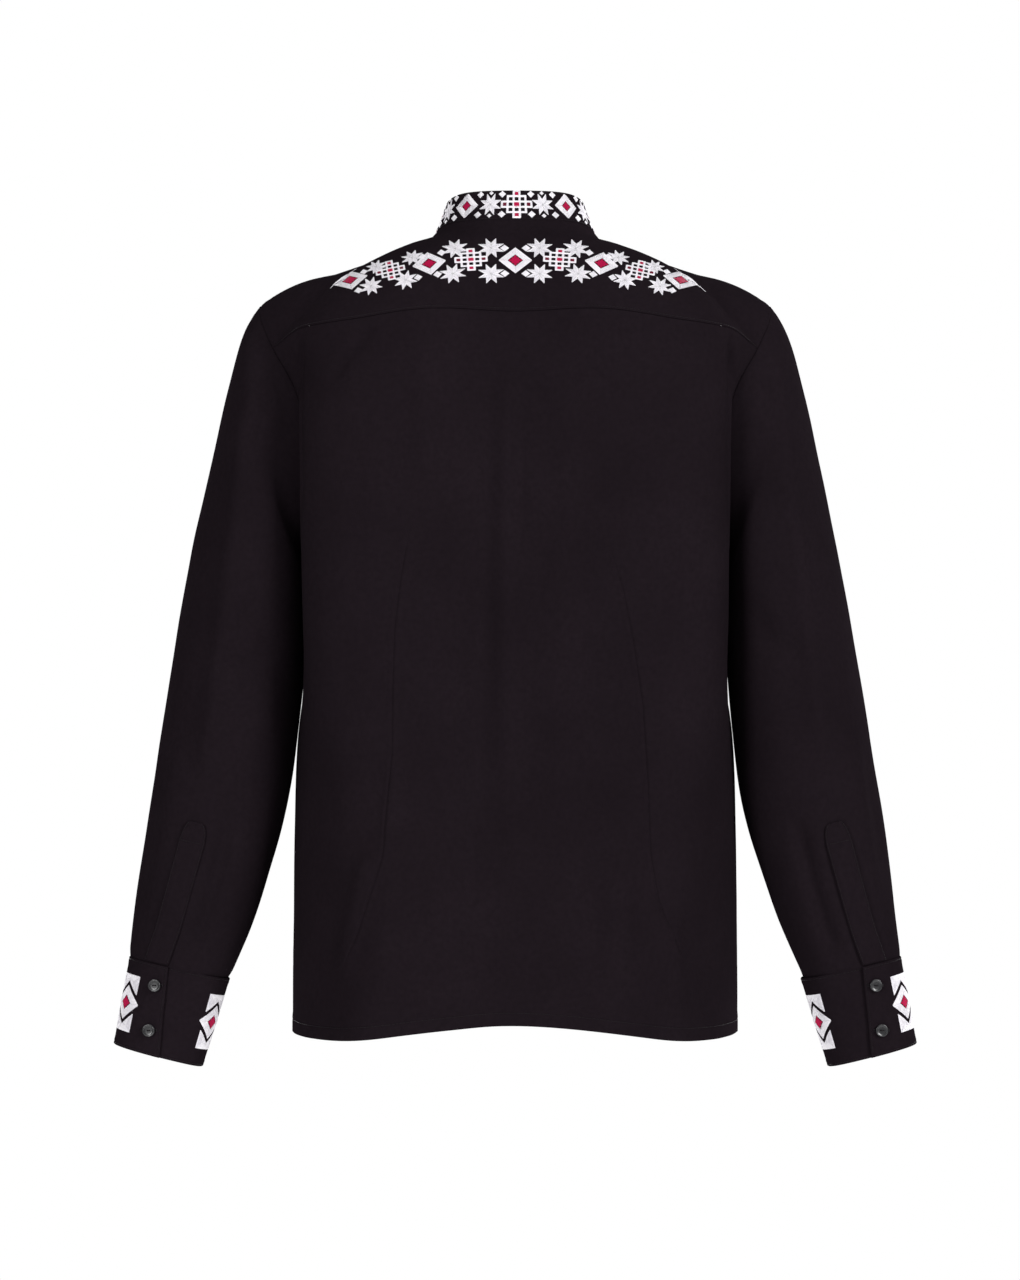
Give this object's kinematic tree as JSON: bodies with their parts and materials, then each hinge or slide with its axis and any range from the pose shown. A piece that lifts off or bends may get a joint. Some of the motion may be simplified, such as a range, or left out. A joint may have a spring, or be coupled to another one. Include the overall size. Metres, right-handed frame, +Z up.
{
  "type": "long-sleeved embroidered shirt",
  "caption": "Black vyshyvanka shirt with a stand collar, a yoke, long sleeves and buttoned cuffs, embroidered in white and crimson, filled out as worn with no wearer.",
  "frame": {"origin": "middle of the neck opening at the height of the back neck seam, where the wearer's neck holds the shirt", "axes": "+Z up, the back of the shirt faces +Y and its front faces -Y, +X towards the wearer's left arm"},
  "size_m": [0.7038, 0.2428, 0.7641],
  "materials": {
    "black_cloth": "matte woven cotton with a faint sheen",
    "embroidered_band": "black cloth under white, crimson and dark red embroidery thread",
    "black_button": "glossy dished button with two thread holes"
  },
  "bodies": {
    "root": {"back": "black_cloth", "yoke": "black_cloth", "front_left": "black_cloth", "front_right": "black_cloth", "collar": "embroidered_band", "sleeve_left": "black_cloth", "sleeve_right": "black_cloth", "cuff_left": "embroidered_band", "cuff_right": "embroidered_band", "sleeve_placket_left": "black_cloth", "sleeve_placket_right": "black_cloth", "front_button_1": "black_button", "front_button_2": "black_button", "front_button_3": "black_button", "front_button_4": "black_button", "front_button_5": "black_button", "front_button_6": "black_button", "front_button_7": "black_button", "collar_button": "black_button", "cuff_button_left_1": "black_button", "cuff_button_left_2": "black_button", "cuff_button_right_1": "black_button", "cuff_button_right_2": "black_button"}
  },
  "joints": []
}
